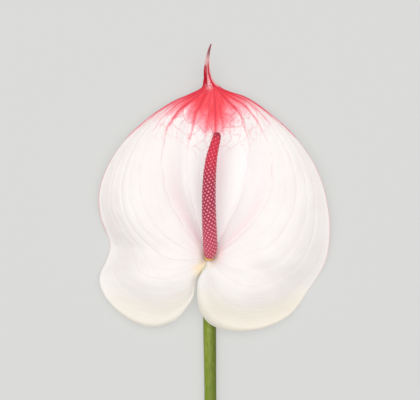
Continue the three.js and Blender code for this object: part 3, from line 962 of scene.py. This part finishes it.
class ANTHURIUM_OT_spadix(Operator):
    """Models the spadix: a fleshy tapering core crowded with spiral rows of tiny florets"""

    bl_idname = "anthurium.spadix"
    bl_label = "Spadix"

    # Centre line: share of its reach, millimetres aside and millimetres up from its base
    LINE = ((0.0, 0.3, 0.0), (0.02, 0.3, 0.97), (0.06, 0.6, 2.7), (0.12, 0.55, 4.8), (0.26, 0.15, 8.2),
            (0.4, -0.1, 10.0), (0.56, 0.0, 11.2), (0.7, 0.55, 11.8), (0.8, 1.4, 12.0), (0.88, 2.6, 12.1),
            (0.95, 3.8, 12.2), (1.0, 4.4, 12.2))
    # Radius as a share of the thickest, by share of the way along
    GIRTH = ((0.0, 0.6), (0.02, 0.78), (0.06, 0.93), (0.12, 1.0), (0.25, 0.985), (0.4, 0.95),
             (0.55, 0.92), (0.68, 0.86), (0.78, 0.78), (0.86, 0.68), (0.92, 0.61), (0.955, 0.57),
             (0.97, 0.54), (0.98, 0.5), (0.99, 0.4), (0.995, 0.29), (0.998, 0.18), (1.0, 0.0))
    # The centre line starts this far along the stem's axis from the node, in metres
    LEAD = 3.0 * MM
    # The core's skin and the florets' feet lie this far inside the spadix's outline, in metres
    CORE_IN, FLORET_IN = 0.15 * MM, 0.17 * MM
    GOLDEN_ANGLE = math.radians(137.508)
    # A floret's rings from its foot up: how far each rises, and its width as a share of the last's
    RINGS = ((0.12, 0.96), (0.07, 0.8), (0.02, 0.66), (-0.04, 0.88), (0.13, 0.95), (0.09, 0.72), (0.03, 0.4))
    # The stigma's knob takes up this share of the floret's half width
    KNOB = 0.42

    def execute(self, context):
        sizes = sizes_now()
        self.prepare(sizes)
        core = self.core(sizes)
        florets = self.florets(sizes, core.data.materials)
        pick(core)
        florets.select_set(True)
        bpy.ops.object.join()
        spadix = bpy.context.object
        spadix.name = "spadix_spike"
        bpy.ops.object.shade_smooth()
        finish_piece(spadix, "spadix")
        return {"FINISHED"}

    def prepare(self, sizes):
        """Draws the centre line and measures along it."""
        origin = node_place(sizes)
        start = Vector((origin.x, origin.y + self.LEAD * math.cos(NODE_TILT),
                        origin.z + node_height(sizes) + self.LEAD * math.sin(NODE_TILT)))
        reach = SPADIX_END - start.y - 0.5 * MM
        stops = [(start.x + a * MM, start.y + s * reach, start.z + r * MM) for s, a, r in self.LINE]
        self.line = self.fine_line(np.array(stops))
        steps = np.linalg.norm(np.diff(self.line, axis=0), axis=1)
        self.length = np.concatenate(((0.0,), np.cumsum(steps)))

    def fine_line(self, stops):
        """A smooth curve through the stops, 400 points."""
        knots = np.concatenate(((0.0,), np.cumsum(np.linalg.norm(np.diff(stops, axis=0), axis=1))))
        slopes = np.gradient(stops, knots, axis=0)
        return curve(knots, stops, slopes, np.linspace(0.0, knots[-1], 400))

    def frame_at(self, share):
        """Centre, tangent, sideways and upward directions at each share of the length."""
        at = share * self.length[-1]
        centre = np.stack([np.interp(at, self.length, self.line[:, k]) for k in range(3)], -1)
        slopes = np.gradient(self.line, self.length, axis=0)
        tangent = np.stack([np.interp(at, self.length, slopes[:, k]) for k in range(3)], -1)
        tangent /= np.linalg.norm(tangent, axis=-1, keepdims=True)
        side = np.cross(tangent, np.array((0.0, 0.0, 1.0)))
        side /= np.linalg.norm(side, axis=-1, keepdims=True)
        return centre, tangent, side, np.cross(side, tangent)

    def girth(self, sizes, share):
        """Radius of the spadix at each share of the length, in metres."""
        shares, girths = np.array(self.GIRTH).T
        return np.interp(share, shares, girths) * sizes.spadix_diameter / 2

    def core(self, sizes):
        """The fleshy core, rings crowded towards its tip."""

        def place(u, v):
            share = 1 - (1 - v) ** 1.35
            centre, _, side, up = self.frame_at(share)
            size = np.maximum(self.girth(sizes, share) - self.CORE_IN, 0.0)
            turn = 2 * math.pi * u
            return centre + side * (size * np.cos(turn))[:, None] + up * (size * np.sin(turn))[:, None]

        core, u, v = grid_piece("spadix_core", 48, 150, place)
        store(core.data, "down", (1 - v) ** 1.35)
        # The core shows only in the seams between florets, all of it in painted shade
        store(core.data, "seam", np.ones(len(v)))
        core.data.materials.append(tepal_flesh())
        core.data.materials.append(stigma_flesh())
        close_tube()
        bpy.ops.object.mode_set(mode="OBJECT")
        return core

    def one_floret(self, materials):
        """A low eight-sided pillow of tepals with the stigma's round knob at its middle, 1 wide
        from its centre to its corners, and as high as in millimetres."""
        fresh()
        bpy.ops.mesh.primitive_circle_add(vertices=8, radius=1.0, fill_type="NGON")
        floret = bpy.context.object
        floret.name = "spadix_floret"
        bpy.ops.object.mode_set(mode="EDIT")
        bpy.ops.mesh.select_all(action="SELECT")
        for lift, size in self.RINGS:
            bpy.ops.mesh.extrude_region_move(TRANSFORM_OT_translate={"value": (0.0, 0.0, lift)})
            bpy.ops.transform.resize(value=(size, size, 1.0), center_override=(0.0, 0.0, 0.0))
        bpy.ops.object.mode_set(mode="OBJECT")
        for material in materials:
            floret.data.materials.append(material)
        for face in floret.data.polygons:
            reach = math.hypot(face.center.x, face.center.y)
            face.material_index = 1 if reach < self.KNOB else 0
        return floret

    def florets(self, sizes, materials):
        """Sets florets from the tip down, each a golden angle round from the last, so that they
        fall in 8 spirals one way and 13 the other, as on a real spadix."""
        pattern = self.one_floret(materials)
        heights = np.array([v.co.z for v in pattern.data.vertices])
        copies = []
        length = self.length[-1]
        down, turn = 0.7 * MM, 0.0
        while down < length - 0.6 * MM:
            radius = float(self.girth(sizes, 1 - down / length))
            crowded = float(smooth(down / length, 0.6, 0.9))
            room = sizes.floret_area * (1 - 0.21 * crowded)
            turn += self.GOLDEN_ANGLE
            copy = pattern.copy()
            copy.data = pattern.data.copy()
            copy.data.transform(self.seat(sizes, 1 - down / length, turn, room))
            store(copy.data, "down", np.full(len(heights), down / length))
            # Painted shade: the floret's lower rings, down in the seams, are darker
            store(copy.data, "seam", 1 - smooth(heights, 0.0, 0.22))
            bpy.context.collection.objects.link(copy)
            copies.append(copy)
            down += room / (2 * math.pi * max(radius, 1.1 * MM))
        fresh()
        for copy in copies:
            copy.select_set(True)
        bpy.context.view_layer.objects.active = copies[0]
        bpy.ops.object.join()
        florets = bpy.context.object
        bpy.data.objects.remove(pattern)
        return florets

    def seat(self, sizes, share, turn, room):
        """Matrix that stands a floret on the core, leaning as its skin does, as wide as its room."""
        step = 0.004
        centre, tangent, side, up = (a[0] for a in self.frame_at(np.array((share,))))
        out = side * math.sin(turn) + up * math.cos(turn)
        radius, ahead = (float(self.girth(sizes, s)) for s in (share, min(share + step, 1.0)))
        lean = (radius - ahead) / (step * self.length[-1])
        normal = Vector(out + tangent * lean).normalized()
        along = Vector(tangent - out * lean).normalized()
        turned = Matrix((along.cross(normal), along, normal)).transposed().to_4x4()
        width = math.sqrt(room) * 0.57 * (0.7 + 0.3 * min(1.0, radius / (3.0 * MM)))
        return (Matrix.Translation(Vector(centre + out * (radius - self.FLORET_IN))) @ turned
                @ Matrix.Diagonal((width, width, MM, 1.0)))


class ANTHURIUM_OT_stage(Operator):
    """Sets the pale lit floor, the soft lights and the camera that looks straight down"""

    bl_idname = "anthurium.stage"
    bl_label = "Floor, lights and camera"

    # Soft lights: name, place from the node and side in metres, and power in watts
    LIGHTS = (("overhead", (0.0, 0.1, 2.0), 2.6, 40.0), ("left", (-1.1, 0.3, 1.3), 0.6, 2.5),
              ("right", (1.1, 0.3, 1.3), 0.6, 2.0))
    # The camera's place in metres: across and along from the node, and above the floor
    CAMERA_X, CAMERA_Y, CAMERA_Z = 0.0005, 0.0317, 1.2193
    # Its focal length and the width of its sensor, in millimetres
    LENS, SENSOR = 200.0, 36.0

    def execute(self, context):
        scene = context.scene
        origin = node_place(sizes_now())
        fresh()
        bpy.ops.mesh.primitive_plane_add(size=6.0, location=(0.0, 0.0, 0.0))
        floor = context.object
        floor.name = "floor"
        floor.data.materials.append(lit_acrylic())

        world = bpy.data.worlds.new("soft_room")
        world.use_nodes = True
        world.node_tree.nodes["Background"].inputs["Color"].default_value = (1.0, 1.0, 1.0, 1.0)
        world.node_tree.nodes["Background"].inputs["Strength"].default_value = 0.3
        scene.world = world
        for name, place, size, power in self.LIGHTS:
            self.soft_box(name, place, size, power, origin)

        camera = bpy.data.objects.new("camera", bpy.data.cameras.new("camera"))
        context.collection.objects.link(camera)
        camera.location = (origin.x + self.CAMERA_X, origin.y + self.CAMERA_Y, self.CAMERA_Z)
        camera.data.lens = self.LENS
        camera.data.sensor_width = self.SENSOR
        camera.data.clip_end = 20.0
        scene.camera = camera
        scene.view_settings.view_transform = "Standard"
        return {"FINISHED"}

    def soft_box(self, name, place, size, power, target):
        """Hangs a square light at its place from the target, and aims it there."""
        light = bpy.data.lights.new(name, "AREA")
        light.shape = "SQUARE"
        light.size = size
        light.energy = power
        lamp = bpy.data.objects.new(name, light)
        bpy.context.collection.objects.link(lamp)
        lamp.location = Vector(place) + Vector((target.x, target.y, 0.0))
        aim = Vector((target.x, target.y, 0.0)) - lamp.location
        lamp.rotation_euler = aim.to_track_quat("-Z", "Y").to_euler()


class ANTHURIUM_PT_panel(Panel):
    """Lists the flower's pieces, sizes and colours"""

    bl_label = "Cut anthurium"
    bl_idname = "ANTHURIUM_PT_panel"
    bl_space_type = "VIEW_3D"
    bl_region_type = "UI"
    bl_category = "Anthurium"

    def draw(self, context):
        layout = self.layout
        for group in (context.scene.anthurium_sizes, context.scene.anthurium_colours):
            box = layout.box()
            for name in group.bl_rna.properties.keys():
                if name not in {"rna_type", "name"}:
                    box.prop(group, name)
        for operator in PIECES:
            layout.operator(operator.bl_idname)


PIECES = (ANTHURIUM_OT_stage, ANTHURIUM_OT_stem, ANTHURIUM_OT_spathe, ANTHURIUM_OT_stipe, ANTHURIUM_OT_spadix)
CLASSES = (AnthuriumSizes, AnthuriumColours) + PIECES + (ANTHURIUM_PT_panel,)


def register():
    for cls in CLASSES:
        bpy.utils.register_class(cls)
    bpy.types.Scene.anthurium_sizes = PointerProperty(type=AnthuriumSizes)
    bpy.types.Scene.anthurium_colours = PointerProperty(type=AnthuriumColours)


def unregister():
    del bpy.types.Scene.anthurium_colours
    del bpy.types.Scene.anthurium_sizes
    for cls in reversed(CLASSES):
        bpy.utils.unregister_class(cls)


def main():
    register()
    bpy.ops.anthurium.stage()
    bpy.ops.anthurium.stem()
    bpy.ops.anthurium.spathe()
    bpy.ops.anthurium.stipe()
    bpy.ops.anthurium.spadix()


if __name__ == "__main__":
    main()
